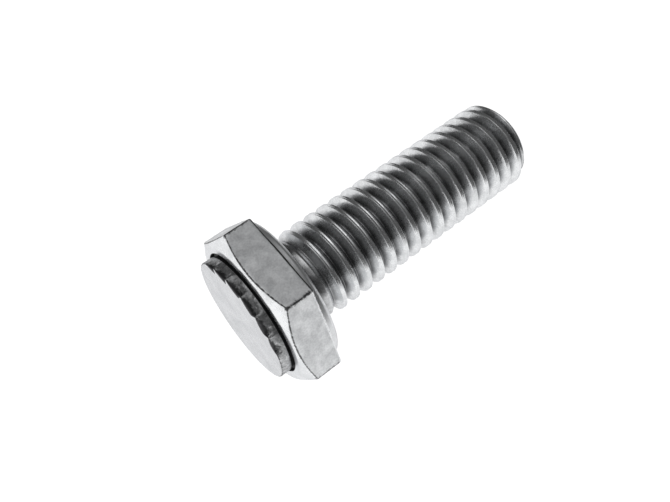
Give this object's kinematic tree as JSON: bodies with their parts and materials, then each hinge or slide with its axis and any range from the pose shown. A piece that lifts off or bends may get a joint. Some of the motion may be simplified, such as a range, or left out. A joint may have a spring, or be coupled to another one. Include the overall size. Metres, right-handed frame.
{
  "type": "hex bolt",
  "caption": "Short hex-head bolt in bright plated steel, threaded almost to the head, with a raised round disc on top of the hexagon.",
  "frame": {"origin": "centre of the top face of the raised disc on the head, on the bolt's axis", "axes": "+X along the bolt's axis from the head to the tip; +Z square to one flat of the hexagon; +Y by the right-hand rule, through a corner"},
  "size_m": [0.0214, 0.0114, 0.0098],
  "materials": {
    "zinc_plated_steel": "bright zinc plating on cold-headed steel, fine grain, dull in the thread"
  },
  "bodies": {
    "root": {"hex_bolt": "zinc_plated_steel"}
  },
  "joints": []
}
